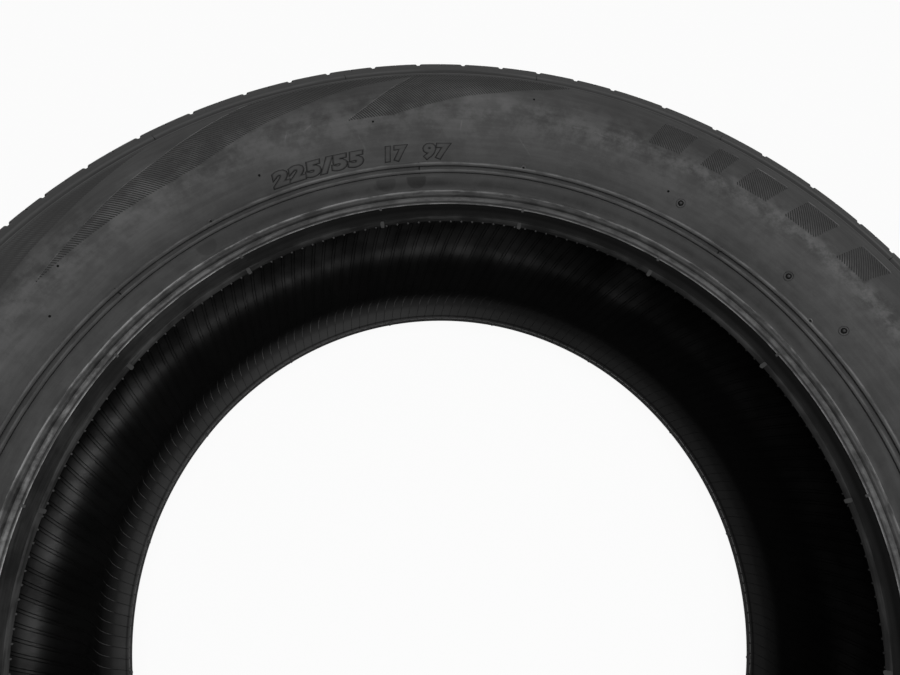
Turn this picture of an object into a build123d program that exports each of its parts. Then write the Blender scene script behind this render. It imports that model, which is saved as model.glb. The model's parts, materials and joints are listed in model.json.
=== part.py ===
from build123d import *

import os
from itertools import accumulate
from math import asin, atan2, cos, degrees, radians, sin, sqrt, tan

# Radial car tyre for a 17 inch rim, one vulcanised piece, off its rim and lying on its sidewall.
# The axle is the Z axis and the origin is the tyre's centre. Lengths are in millimetres, angles in degrees.

# Overall sizes
overall_diameter = 680.0
bead_seat_diameter = 436.6
heel_spread = 181.0
sidewall_bulge = 22.5
widest_share = 0.5

# Tread
tread_width = 173.6
shoulder_drop = 8.1
shoulder_radius = 14.0
crown_thickness = 17.0

# Grooves round the tread
groove_depth = 8.0
groove_width = 10.0
groove_wall_angle = 83.0
inner_groove_place = 18.5
outer_groove_place = 52.0

# Slots across both shoulders
slot_width = 3.4
slot_depth = 5.2
slot_skew = 10.0
slot_tilt = 10.5
slot_gap = 5.0
slot_overrun = 14.0

# Short, medium and long pitches from slot to slot, in an uneven order round the tyre
pitch_shares = {"s": 4.4, "m": 5.2, "l": 6.2}
pitch_order = "slllllssssmmmsmlllms" "mllllmmssssmss" "mmlllmsssmmss" "mllllmmssssm" "smlllmmsss"
first_slot_turn = 36.1

# Walls
sidewall_thickness = 8.0
flank_ratio = 1.44
inner_edge_inset = 8.0
inner_shoulder_radius = 24.0

# Bead
bead_width = 15.0
heel_radius = 6.5
heel_face_height = 1.0
seat_length = 5.5
toe_drop = 2.2
bead_top_height = 4.5
flange_share = 0.713
bead_share = 0.65

# Ribs on each sidewall: two clear of the rim flange and one against it
rib_width = 2.2
rib_height = 0.9
rib_side_angle = 60.0
rim_rib_pitch = 4.3
flange_rib_place = 1.2
flange_rib_width = 3.4


def flank_start(edge, widest):
    """Where the straight flank from a tread edge meets the arc that ends radial at the widest point."""
    drop = edge.X - widest.X
    bulge = widest.Y - edge.Y
    lean = flank_ratio * atan2(bulge, drop)
    radius = (drop * sin(lean) - bulge * cos(lean)) / (1 - cos(lean))
    return Vector(widest.X + radius * sin(lean), widest.Y - radius * (1 - cos(lean)))


def tread_height(offset):
    """Radius of the tread's arc at a distance from the centre line."""
    return crown_centre + sqrt(crown_arc**2 - offset**2)


def base_width(top, depth, wall_angle):
    """Wide side of a trapezoid of twice the depth that measures top across its middle."""
    return top + 2 * depth / tan(radians(wall_angle))


def slot_plane(turn, side):
    """Floor of one shoulder slot: X runs outward across the shoulder, Z stands out of the tread."""
    radial = Vector(1, 0, 0).rotate(Axis.Z, turn)
    axial = Vector(0, 0, side)
    tilt = radians(slot_tilt)
    start = radial * slot_floor + axial * slot_start
    return Plane(
        start,
        x_dir=axial * cos(tilt) - radial * sin(tilt),
        z_dir=radial * cos(tilt) + axial * sin(tilt),
    )


# Outer side of the section, as radius and height above the centre line
crown_radius = overall_diameter / 2
seat_radius = bead_seat_diameter / 2
heel_height = heel_spread / 2
crown_arc = ((tread_width / 2) ** 2 + shoulder_drop**2) / (2 * shoulder_drop)
crown_centre = crown_radius - crown_arc
tread_edge = Vector(crown_radius - shoulder_drop, tread_width / 2)
widest_radius = seat_radius + widest_share * (crown_radius - seat_radius)
widest = Vector(widest_radius, heel_height + sidewall_bulge)
flank_foot = flank_start(tread_edge, widest)
heel_face = Vector(seat_radius + heel_radius + heel_face_height, heel_height)
rim_line = widest + (heel_face - widest) * flange_share
heel = Vector(seat_radius, heel_height)
seat_end = heel - Vector(0, heel_radius + seat_length)
toe = heel - Vector(toe_drop, bead_width)

# Inner side of the section
inner_arc = crown_arc - crown_thickness
inner_edge_height = tread_edge.Y - inner_edge_inset
inner_edge = Vector(crown_centre + sqrt(inner_arc**2 - inner_edge_height**2), inner_edge_height)
inner_widest = widest - Vector(0, sidewall_thickness)
inner_flank_foot = flank_start(inner_edge, inner_widest)
bead_top = Vector(seat_radius + bead_top_height, toe.Y)
bead_blend = inner_widest + (bead_top - inner_widest) * bead_share

# Shoulder slots
slot_start = outer_groove_place + groove_width / 2 + slot_gap
slot_floor = tread_height(slot_start) - slot_depth
slot_length = (tread_edge.Y + slot_overrun - slot_start) / cos(radians(slot_tilt))
pitches = [pitch_shares[step] for step in pitch_order]
slot_turns = [first_slot_turn + 360 * part / sum(pitches) for part in accumulate(pitches)]

# Ribs, each as its place, the lean of the wall there and its width
wall_run = widest - heel_face
rim_lean = 2 * atan2(wall_run.Y, wall_run.X)
rim_step = Vector(cos(rim_lean), sin(rim_lean)) * (rim_rib_pitch / 2)
flange_arc = (1 - flange_share) * wall_run.length**2 / (2 * wall_run.Y)
flange_lean = asin(flange_rib_place / flange_arc)
flange_rib = heel_face + Vector(flange_rib_place, flange_arc * (1 - cos(flange_lean)))
ribs = [
    (rim_line + rim_step, rim_lean, rib_width),
    (rim_line - rim_step, rim_lean, rib_width),
    (flange_rib, flange_lean, flange_rib_width),
]


with BuildPart() as tyre:
    # Section through tread, sidewalls and beads, turned round the axle
    with BuildSketch(Plane.XZ) as section:
        with BuildLine():
            flank = Line(tread_edge, flank_foot)
            upper_wall = TangentArc(flank_foot, widest, tangent=flank % 1)
            lower_wall = TangentArc(widest, rim_line, tangent=upper_wall % 1)
            TangentArc(rim_line, heel_face, tangent=lower_wall % 1)
            bead = Polyline(heel_face, heel, seat_end, toe, bead_top)
            bead_curve = TangentArc(bead_top, bead_blend, tangent=bead % 1)
            inner_lower_wall = TangentArc(bead_blend, inner_widest, tangent=bead_curve % 1)
            TangentArc(inner_widest, inner_flank_foot, tangent=inner_lower_wall % 1)
            Line(inner_flank_foot, inner_edge)
            mirror(about=Plane.XZ)
            ThreePointArc((tread_edge.X, -tread_edge.Y), (crown_radius, 0), tread_edge)
            ThreePointArc((inner_edge.X, -inner_edge.Y), (crown_radius - crown_thickness, 0), inner_edge)
        make_face()
        for corner, radius in [
            (tread_edge, shoulder_radius),
            (inner_edge, inner_shoulder_radius),
            (heel, heel_radius),
        ]:
            for side in (1, -1):
                place = Vector(corner.X, side * corner.Y)
                fillet(section.vertices().sort_by_distance(place)[0], radius)
    revolve(axis=Axis.Z)

    # Four grooves round the tread, wider at the surface than at the floor
    with BuildSketch(Plane.XZ):
        groove_base = base_width(groove_width, groove_depth, groove_wall_angle)
        for place in (inner_groove_place, outer_groove_place):
            with Locations((tread_height(place), place), (tread_height(place), -place)):
                Trapezoid(groove_base, 2 * groove_depth, groove_wall_angle, rotation=90)
    revolve(axis=Axis.Z, mode=Mode.SUBTRACT)

    # Slots across the shoulders, which run out below the tread edge
    with BuildSketch(*[slot_plane(turn, side) for turn in slot_turns for side in (1, -1)]):
        Rectangle(slot_length, slot_width, rotation=slot_skew, align=(Align.MIN, Align.CENTER))
    extrude(amount=2 * slot_depth, mode=Mode.SUBTRACT)

    # Ribs round both sidewalls
    with BuildSketch(Plane.XZ):
        for place, lean, width in ribs:
            rib_base = base_width(width, rib_height, rib_side_angle)
            with Locations((place.X, place.Y)):
                Trapezoid(rib_base, 2 * rib_height, rib_side_angle, rotation=degrees(lean))
            with Locations((place.X, -place.Y)):
                Trapezoid(rib_base, 2 * rib_height, rib_side_angle, rotation=180 - degrees(lean))
    revolve(axis=Axis.Z)

tyre.part.label = "tyre"

os.makedirs("parts", exist_ok=True)
export_step(tyre.part, "parts/tyre.step")
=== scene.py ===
import json
from math import atan2, cos, radians, sin, sqrt, tan

import bpy
import numpy as np
from mathutils import Matrix, Vector


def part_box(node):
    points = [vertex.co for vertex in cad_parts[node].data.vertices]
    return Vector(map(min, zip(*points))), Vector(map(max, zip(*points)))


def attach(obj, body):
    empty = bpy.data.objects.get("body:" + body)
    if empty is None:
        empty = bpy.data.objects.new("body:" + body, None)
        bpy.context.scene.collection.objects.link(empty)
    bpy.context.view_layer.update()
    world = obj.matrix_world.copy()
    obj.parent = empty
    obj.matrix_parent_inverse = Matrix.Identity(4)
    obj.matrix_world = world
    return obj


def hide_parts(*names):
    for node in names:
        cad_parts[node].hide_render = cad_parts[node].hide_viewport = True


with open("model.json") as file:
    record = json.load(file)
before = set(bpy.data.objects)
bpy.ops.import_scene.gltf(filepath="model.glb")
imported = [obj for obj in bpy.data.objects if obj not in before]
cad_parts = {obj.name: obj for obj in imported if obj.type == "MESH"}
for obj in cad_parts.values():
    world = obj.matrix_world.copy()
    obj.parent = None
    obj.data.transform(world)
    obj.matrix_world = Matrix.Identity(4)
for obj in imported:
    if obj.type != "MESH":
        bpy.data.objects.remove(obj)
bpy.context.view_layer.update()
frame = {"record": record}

# A car tyre off its rim, lying on its sidewall. The axle is the Z axis. Lengths are in metres, angles in
# degrees. A point of the section is (radius, height above the centre line), and angles round the axle count
# from the X axis.

# Overall sizes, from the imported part
low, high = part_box("tyre")
CROWN = min(high.x, high.y, -low.x, -low.y)
HALF_WIDTH = high.z
SEAT = frame["record"]["mounts"][0]["dims"]["r_mm"] * 0.001

# Outer side of the section
BULGE = 0.0225
HEEL_RADIUS = 0.0065
HEEL_FACE = 0.001
FLANGE_SHARE = 0.713
FLANK_RATIO = 1.44
TREAD_WIDTH = 0.1736
SHOULDER_DROP = 0.0081
TREAD_EDGE = np.array([CROWN - SHOULDER_DROP, TREAD_WIDTH / 2])
SHOULDER_RADIUS = 0.014
WIDEST = np.array([(CROWN + SEAT) / 2, HALF_WIDTH])
HEEL = np.array([SEAT, HALF_WIDTH - BULGE])

# Inner side of the section
SEAT_LENGTH = 0.0055
TOE_DROP = 0.0022
BEAD_WIDTH = 0.015
TOE = HEEL - np.array([TOE_DROP, BEAD_WIDTH])
BEAD_TOP_HEIGHT = 0.0045
BEAD_TOP = np.array([SEAT + BEAD_TOP_HEIGHT, TOE[1]])
BEAD_SHARE = 0.65
WALL = 0.008
CROWN_THICKNESS = 0.017
INNER_EDGE_INSET = 0.008
INNER_SHOULDER_RADIUS = 0.024

# Rings round the sidewall. The wall lies a little inside the part's box so that relief on it stays in the box
SINK = 0.0005
JOINT_RING = 0.3083
FINE_RING = 0.3052
FINE_RING_WIDTH = 0.0006
FINE_RING_FLANK = 0.0005
FINE_RING_HEIGHT = 0.00012
RIM_RIB_PITCH = 0.0043
RIM_RIB_WIDTH = 0.0022
RIM_RIB_HEIGHT = 0.0009
RIB_FLANK = 0.0008
FLANGE_RIB_PLACE = 0.0012
FLANGE_RIB_WIDTH = 0.0034
HEEL_LINE_TURN = 130.0
HEEL_LINE_HEIGHT = 0.0005
HEEL_GROOVE_TURN = 120.5
HEEL_GROOVE_DEPTH = 0.0003
HEEL_BAND_TURN = 108.0
HEEL_BAND_REACH = 7.0
HEEL_LINE_REACH = 2.4

# Tread
GROOVES = (0.0185, 0.052)
GROOVE_WIDTH = 0.010
GROOVE_DEPTH = 0.008
GROOVE_WALL = 83.0
SLOT_WIDTH = 0.0034
SLOT_DEPTH = 0.0052
SLOT_LIP = 0.0004
SLOT_WALL = 0.00015
SLOT_START = 0.062
SLOT_SKEW = 10.0
SLOT_TILT = 10.5
PITCH_SHARES = {"s": 4.4, "m": 5.2, "l": 6.2}
PITCH_ORDER = "slllllssssmmmsmlllms" "mllllmmssssmss" "mmlllmsssmmss" "mllllmmssssm" "smlllmmsss"
FIRST_SLOT = 36.1
SIPE_WIDTH = 0.0007
SIPE_DEPTH = 0.0022
SIPE_LIP = 0.0001
TREAD_SKIN = 0.0105
SKIN_DROP = 0.011
SKIN_REACH = 0.08

# Lines across the liner
LINER_LINES = 204
LINER_LEAN = 0.36
LINE_WIDTH = 0.0005
LINE_GAP = 0.0022
LINE_DEPTH = 0.0004
LINE_END = 0.003
DOUBLE_LINES = (0.262, 0.28)
LINER_THICKNESS = 0.003

# Hatched bands of the sidewall
HATCH_PITCH = 0.00138
HATCH_STEEPNESS = 52.6
HATCH_WIDTH = 0.00134
FAINT_HATCH_WIDTH = 0.0068
HATCH_HEIGHT = 0.0004
HATCH_BOTTOM = 0.2698
HATCH_TOP = 0.3035

# Ridges and studs on a sidewall stand on feet this far inside the rubber
FOOT_DEPTH = 0.0004

# Share of a length along the wall that is left along the radius
LEANED = 0.86

# The marks of a sidewall repeat half a turn on
HALVES = np.array([0.0, 180.0])

# Columns round the axle
AROUND = 576


def arc(centre, radius, start, end, count):
    """Points on a circle round a centre of the section, from one angle to another."""
    turn = np.linspace(start, end, count)
    return np.stack([centre[0] + radius * np.cos(turn), centre[1] + radius * np.sin(turn)], axis=1)


def flank_arc(edge, widest):
    """Radius and lean of the arc that is radial at the widest point and meets the flank from an edge."""
    drop = edge[0] - widest[0]
    bulge = widest[1] - edge[1]
    lean = FLANK_RATIO * atan2(bulge, drop)
    return (drop * sin(lean) - bulge * cos(lean)) / (1 - cos(lean)), lean


def corner(edge, foot, crown_arc, radius):
    """Centre of the round between the crown's arc and the straight flank, which is inside both by its radius,
    and the direction from the flank to it."""
    along = (foot - edge) / np.linalg.norm(foot - edge)
    inward = np.array([-along[1], along[0]])
    start = edge + radius * inward - np.array([CROWN_CENTRE, 0.0])
    half = start @ along
    reach = half**2 - start @ start + (crown_arc - radius) ** 2
    return edge + radius * inward - (half + sqrt(reach)) * along, inward


CROWN_ARC = (TREAD_EDGE[1] ** 2 + SHOULDER_DROP**2) / (2 * SHOULDER_DROP)
CROWN_CENTRE = CROWN - CROWN_ARC
UPPER_ARC, UPPER_LEAN = flank_arc(TREAD_EDGE, WIDEST)
FLANK_FOOT = WIDEST + UPPER_ARC * np.array([sin(UPPER_LEAN), cos(UPPER_LEAN) - 1])
HEEL_END = np.array([SEAT + HEEL_RADIUS + HEEL_FACE, HEEL[1]])
WALL_RUN = WIDEST - HEEL_END
RIM_LINE = WIDEST - FLANGE_SHARE * WALL_RUN
RIM_LEAN = 2 * atan2(WALL_RUN[1], WALL_RUN[0])
LOWER_ARC = FLANGE_SHARE * (WALL_RUN @ WALL_RUN) / (2 * WALL_RUN[1])
FLANGE_ARC = (1 - FLANGE_SHARE) * (WALL_RUN @ WALL_RUN) / (2 * WALL_RUN[1])
RIM_STEP = RIM_RIB_PITCH / 2 * cos(RIM_LEAN)
RIM_RIBS = (RIM_LINE[0] + RIM_STEP, RIM_LINE[0] - RIM_STEP)


def wall(radius):
    """Height and normal of the outer wall at a radius: two arcs that are radial at the widest point,
    then the arc under the rim's flange, which curves the other way and ends radial at the heel."""
    radius = np.asarray(radius, float)
    bend = np.where(radius > WIDEST[0], UPPER_ARC, LOWER_ARC)
    lean = np.clip((radius - WIDEST[0]) / bend, -1, 1)
    rise = np.sqrt(1 - lean**2)
    under = np.clip((HEEL_END[0] - radius) / FLANGE_ARC, -1, 1)
    under_rise = np.sqrt(1 - under**2)
    flange = radius < RIM_LINE[0]
    height = np.where(flange, HEEL_END[1] + FLANGE_ARC * (1 - under_rise), WIDEST[1] - bend * (1 - rise))
    normal = np.stack([np.where(flange, under, lean), np.where(flange, under_rise, rise)], axis=-1)
    return height, normal


def spin(section, turn, side=1):
    """Points (radius, height) carried round the axle to an angle. The lower side is the upper turned over."""
    radius, height = section[..., 0], section[..., 1]
    return np.stack([radius * np.cos(turn), side * radius * np.sin(turn), side * height + 0 * turn], axis=-1)


def on_wall(turn, radius, lift, side=1):
    """Points on a sidewall: angle round the axle, radius, and lift along the normal from the sunk wall."""
    height, normal = wall(radius)
    place = np.stack([radius + 0 * turn, height + 0 * turn], axis=-1)
    return spin(place + np.expand_dims(lift - SINK, -1) * normal, turn, side)


def add_object(name, data):
    """An object of a mesh, text, lamp or camera, linked into the scene."""
    item = bpy.data.objects.new(name, data)
    bpy.context.scene.collection.objects.link(item)
    return item


def add_piece(name, points, faces, finishes, finish_of_face=None, sharp=35.0, wear_and_shade=None):
    """A piece of the tyre from points and faces, smooth but for edges sharper than an angle.
    The shading value goes with the points for the finish to read: painted shade below nothing in a corner,
    and scuffing with a painted highlight above it on a ridge."""
    mesh = bpy.data.meshes.new(name)
    mesh.from_pydata(points.reshape(-1, 3), [], faces)
    for finish in finishes:
        mesh.materials.append(finish)
    if finish_of_face is not None:
        mesh.polygons.foreach_set("material_index", np.asarray(finish_of_face, np.int32).ravel())
    if wear_and_shade is not None:
        worn_and_lit = mesh.attributes.new("wear_and_shade", "FLOAT", "POINT")
        worn_and_lit.data.foreach_set("value", wear_and_shade.astype(np.float32).ravel())
    mesh.shade_smooth()
    mesh.set_sharp_from_angle(angle=radians(sharp))
    piece = add_object(name, mesh)
    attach(piece, "root")
    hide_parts("tyre")
    return piece


def ring_faces(rows, columns):
    """Quads of a grid that closes on itself both along its rows and round its columns."""
    row, column = np.indices((rows, columns))
    next_row = (row + 1) % rows
    next_column = (column + 1) % columns
    corners = [row * columns + column, row * columns + next_column,
               next_row * columns + next_column, next_row * columns + column]
    return np.stack(corners, axis=-1).reshape(-1, 4)


def bar_faces(bars, stations, sides):
    """Faces of many closed bars, each a ring of sides at every station along it, with a cap at both ends."""
    bar, station, side = np.indices((bars, stations - 1, sides))
    here = (bar * stations + station) * sides
    next_side = (side + 1) % sides
    corners = [here + side, here + next_side, here + sides + next_side, here + sides + side]
    walls = np.stack(corners, axis=-1).reshape(-1, 4)
    first = np.arange(bars)[:, None] * stations * sides + np.arange(sides)
    caps = np.concatenate([first[:, ::-1], first + (stations - 1) * sides])
    return walls.tolist() + caps.tolist()


def outer_rows():
    """Rows of the outer wall from the joint ring to the heel: radius, lift above the sunk wall and shading
    value.
    Each ridge is a step with rounded edges, paler on its outer edge for scuffing and a painted highlight, and
    painted with shade in its inner corner."""
    slope = cos(RIM_LEAN)
    rib_height = RIM_RIB_HEIGHT + SINK
    # Pale values on a ridge's outer edge stand for scuffing and a painted highlight; dark values in its inner
    # corner are painted shade.
    step = np.array([0.0, 0.6, 1.0, 0.6, 0.15, 0.05, -0.1, -0.9, -0.7])
    flange = np.array([0.6, 1.2, 1.3, 0.8, -0.12, -0.16, -0.2, -0.55, -0.85])
    ridges = [
        (FINE_RING, FINE_RING_WIDTH, FINE_RING_FLANK, FINE_RING_HEIGHT, 0.1 * step),
        (RIM_RIBS[0], RIM_RIB_WIDTH * slope, RIB_FLANK * slope, rib_height, 0.9 * step),
        (RIM_RIBS[1], RIM_RIB_WIDTH * slope, RIB_FLANK * slope, rib_height, 0.5 * step),
        (HEEL_END[0] + FLANGE_RIB_PLACE, FLANGE_RIB_WIDTH, RIB_FLANK, rib_height, flange),
    ]
    share = np.array([0.5, 0.1, -0.35, -0.7])
    rise = np.array([0.0, 0.5, 0.92, 1.0, 1.0, 1.0, 0.92, 0.5, 0.0])
    plain = np.linspace(JOINT_RING + 0.002, HEEL_END[0], 46)
    clear = np.all([abs(plain - place) > width / 2 + flank for place, width, flank, _, _ in ridges], axis=0)
    radius, lift, wear_and_shade = [plain[clear]], [0 * plain[clear]], [0 * plain[clear]]
    for place, width, flank, height, worn_and_lit in ridges:
        edge = width / 2 + flank * share
        radius.append(place + np.concatenate([edge, [0.0], -edge[::-1]]))
        lift.append(height * rise)
        wear_and_shade.append(worn_and_lit)
    radius, lift, wear_and_shade = np.concatenate(radius), np.concatenate(lift), np.concatenate(wear_and_shade)
    order = np.argsort(-radius)
    return radius[order], lift[order], wear_and_shade[order]


def sidewall(name, side, rubber, bead_rubber):
    """One sidewall and bead as a closed ring: outer wall with its ribs, heel with its moulding line, seat
    and toe, then back inside the rubber, carried round the axle."""
    radius, lift, wear_and_shade = outer_rows()
    height, normal = wall(radius)
    outside = np.stack([radius, height], axis=1) + (lift - SINK)[:, None] * normal
    turn = np.array([94, 100, 106, 112, 116, 118, 120.5, 123, 125.5, 128, 130, 132,
                     135, 144, 153, 162, 171, 180.0])
    line = np.exp(-(((turn - HEEL_LINE_TURN) / HEEL_LINE_REACH) ** 2))
    groove = np.exp(-(((turn - HEEL_GROOVE_TURN) / HEEL_LINE_REACH) ** 2))
    band = np.exp(-(((turn - HEEL_BAND_TURN) / HEEL_BAND_REACH) ** 2))
    heel_centre = HEEL + np.array([HEEL_RADIUS, -HEEL_RADIUS])
    reach = HEEL_RADIUS + HEEL_LINE_HEIGHT * line - HEEL_GROOVE_DEPTH * groove
    bend = np.radians(turn)
    heel = heel_centre + reach[:, None] * np.stack([np.cos(bend), np.sin(bend)], axis=1)
    seat_end = HEEL - np.array([0.0, HEEL_RADIUS + SEAT_LENGTH])
    toe = np.array([seat_end, TOE + [0.0004, 0.0007], TOE + [0.0003, 0.0002], TOE + [0.0011, 0.0]])
    inside = np.array([0.246, 0.262, 0.279, 0.294, 0.306])
    inside_height, inside_normal = wall(inside)
    core = np.stack([inside, inside_height], axis=1) - 0.5 * WALL * inside_normal
    hidden = np.concatenate([[BEAD_TOP + [0.0, 0.0015], BEAD_TOP + [0.010, 0.008]], core])
    section = np.concatenate([outside, heel, toe, hidden])
    # On the heel, the moulding line is paler for scuffing and a painted highlight, the groove next to it has
    # painted shade, and a band further out is paler.
    wear_and_shade = np.concatenate([wear_and_shade, 1.5 * line - 0.9 * groove + 0.3 * band, np.zeros(len(toe) + len(hidden))])
    around = np.arange(AROUND) * 2 * np.pi / AROUND
    points = spin(section[:, None, :], around, side)
    is_bead = np.zeros(len(section), int)
    is_bead[len(outside) + np.argmax(turn > HEEL_LINE_TURN + 1):] = 1
    return add_piece(name, points, ring_faces(len(section), AROUND), [rubber, bead_rubber],
                     np.repeat(is_bead, AROUND), wear_and_shade=np.repeat(wear_and_shade, AROUND))


def liner_section():
    """Inner surface from the upper toe to the lower one: bead curve, inner wall, inner shoulder and crown,
    then the same mirrored."""
    inner_widest = WIDEST - np.array([0.0, WALL])
    run = inner_widest - BEAD_TOP
    bead_arc = (1 - BEAD_SHARE) * (run @ run) / (2 * run[1])
    low_arc = BEAD_SHARE * (run @ run) / (2 * run[1])
    turn = 2 * atan2(run[1], run[0])
    toe = np.array([TOE + [0.0006, 0.0003], TOE + [0.0012, -0.0003], BEAD_TOP])
    bead = arc(BEAD_TOP + [0.0, bead_arc], bead_arc, radians(-90), turn - radians(90), 6)[1:]
    low_wall = arc(inner_widest - [0.0, low_arc], low_arc, turn + radians(90), radians(90), 7)[1:]
    inner_arc = CROWN_ARC - CROWN_THICKNESS
    edge_height = TREAD_EDGE[1] - INNER_EDGE_INSET
    edge = np.array([CROWN_CENTRE + sqrt(inner_arc**2 - edge_height**2), edge_height])
    up_arc, up_lean = flank_arc(edge, inner_widest)
    foot = inner_widest + up_arc * np.array([sin(up_lean), cos(up_lean) - 1])
    up_wall = arc(inner_widest - [0.0, up_arc], up_arc, radians(90), radians(90) - up_lean, 6)[1:]
    centre, inward = corner(edge, foot, inner_arc, INNER_SHOULDER_RADIUS)
    lean = atan2(centre[1], centre[0] - CROWN_CENTRE)
    shoulder = arc(centre, INNER_SHOULDER_RADIUS, atan2(-inward[1], -inward[0]), lean, 8)[1:]
    crown = arc([CROWN_CENTRE, 0.0], inner_arc, lean, 0.0, 4)[1:]
    half = np.concatenate([toe, bead, low_wall, up_wall, shoulder, crown])
    return np.concatenate([half, half[-2::-1] * [1, -1]])


def liner(rubber):
    """Liner with fine lines that lean across it from bead to bead, double between its walls. Its columns lean
    with the lines and stand at their edges, so that a line is a groove along the outward normal. Its back is
    closed inside the rubber."""
    section = liner_section()
    step = np.diff(section, axis=0)
    run = np.concatenate([[0.0], np.cumsum(np.hypot(step[:, 0], step[:, 1]))])
    run = run[-1] / 2 - run
    along = np.gradient(section, axis=0)
    along /= np.linalg.norm(along, axis=1, keepdims=True)
    into = np.stack([along[:, 1], -along[:, 0]], axis=1)
    groove = np.array([-0.5, 0.0, 0.5]) * LINE_WIDTH
    across = np.concatenate([groove - LINE_GAP / 2, groove + LINE_GAP / 2])
    double = np.interp(section[:, 0], DOUBLE_LINES, [0.0, 0.8])[:, None]
    share = np.tile([0, 1, 0, 0, 0, 0], LINER_LINES) + double * np.tile([0, 0, 0, 0, 1, 0], LINER_LINES)
    first = np.arange(LINER_LINES) * 2 * np.pi / LINER_LINES
    turn = (first[:, None] + across / WIDEST[0]).ravel()
    lean = -LINER_LEAN * run / WIDEST[0]
    end_rows = np.abs(run) > abs(run[0]) - LINE_END
    depth = LINE_DEPTH * share * np.where(end_rows, 0.0, 1.0)[:, None]
    surface = section[:, None, :] - depth[..., None] * into[:, None, :]
    middle = len(section) // 2
    back_rows = np.array([4, 8, 12, 16, 19, 21, 23, 25, middle])
    back_rows = np.concatenate([back_rows, len(section) - 1 - back_rows[-2::-1]])
    back = section[back_rows] - LINER_THICKNESS * into[back_rows]
    back = np.broadcast_to(back[::-1, None, :], (len(back), len(turn), 2))
    angle = np.concatenate([lean, lean[back_rows][::-1]])[:, None] + turn
    points = spin(np.concatenate([surface, back]), angle)
    # The lines' grooves are painted with shade.
    wear_and_shade = np.concatenate([-share, np.zeros((len(back), len(turn)))])
    return add_piece("liner", points, ring_faces(*angle.shape), [rubber], wear_and_shade=wear_and_shade)


def tread_height(offset):
    """Radius of the tread's arc at a distance from the centre line."""
    return CROWN_CENTRE + np.sqrt(CROWN_ARC**2 - np.asarray(offset) ** 2)


def tread_section():
    """Tread surface from the centre line over the shoulder to the joint ring, with the grooves cut in
    and a soft step down to the sunk wall at the ring."""
    centre, inward = corner(TREAD_EDGE, FLANK_FOOT, CROWN_ARC, SHOULDER_RADIUS)
    lean = atan2(centre[1], centre[0] - CROWN_CENTRE)
    half_floor = GROOVE_WIDTH / 2 - GROOVE_DEPTH / tan(radians(GROOVE_WALL))
    heights = [np.array([0.0, 0.007, 0.030, 0.039, SLOT_START - 0.0002, SLOT_START + 0.0002, 0.068, 0.074])]
    depths = [np.zeros(8)]
    for place in GROOVES:
        edge = GROOVE_WIDTH / 2
        across = np.array([-edge - 0.0006, -edge, -half_floor - 0.0005, -half_floor + 0.0008,
                           half_floor - 0.0008, half_floor + 0.0005, edge, edge + 0.0006])
        floor = tread_height(place + across) - (tread_height(place) - GROOVE_DEPTH)
        heights.append(place + across)
        depths.append(np.array([0, 0.0005, 0, 0, 0, 0, 0.0005, 0]) + floor * [0, 0, 0.92, 1, 1, 0.92, 0, 0])
    height, depth = np.concatenate(heights), np.concatenate(depths)
    order = np.argsort(height)
    crown = np.stack([tread_height(height) - depth, height], axis=1)[order]
    shoulder = arc(centre, SHOULDER_RADIUS, lean, atan2(-inward[1], -inward[0]), 9)
    flank = np.linspace(shoulder[-1], FLANK_FOOT, 5)[1:]
    radius = JOINT_RING + np.array([0.0040, 0.0030, 0.0021, 0.0011, 0.0001,
                                    -0.0009, -0.0017, -0.0023, -0.0023])
    rise, normal = wall(radius)
    sunk = SINK * np.array([0.0, 0.0, 0.0, 0.2, 0.5, 0.8, 0.95, 1.05, 4.0])
    lip = np.stack([radius, rise], axis=1) - sunk[:, None] * normal
    return np.concatenate([crown, shoulder, flank, lip])


def slot_turns():
    """Angles of the shoulder slots and the pitch after each, in an uneven order of short, medium and long."""
    pitch = np.array([PITCH_SHARES[step] for step in PITCH_ORDER])
    pitch *= 2 * np.pi / pitch.sum()
    return radians(FIRST_SLOT) + np.cumsum(pitch) - pitch, pitch


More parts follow.
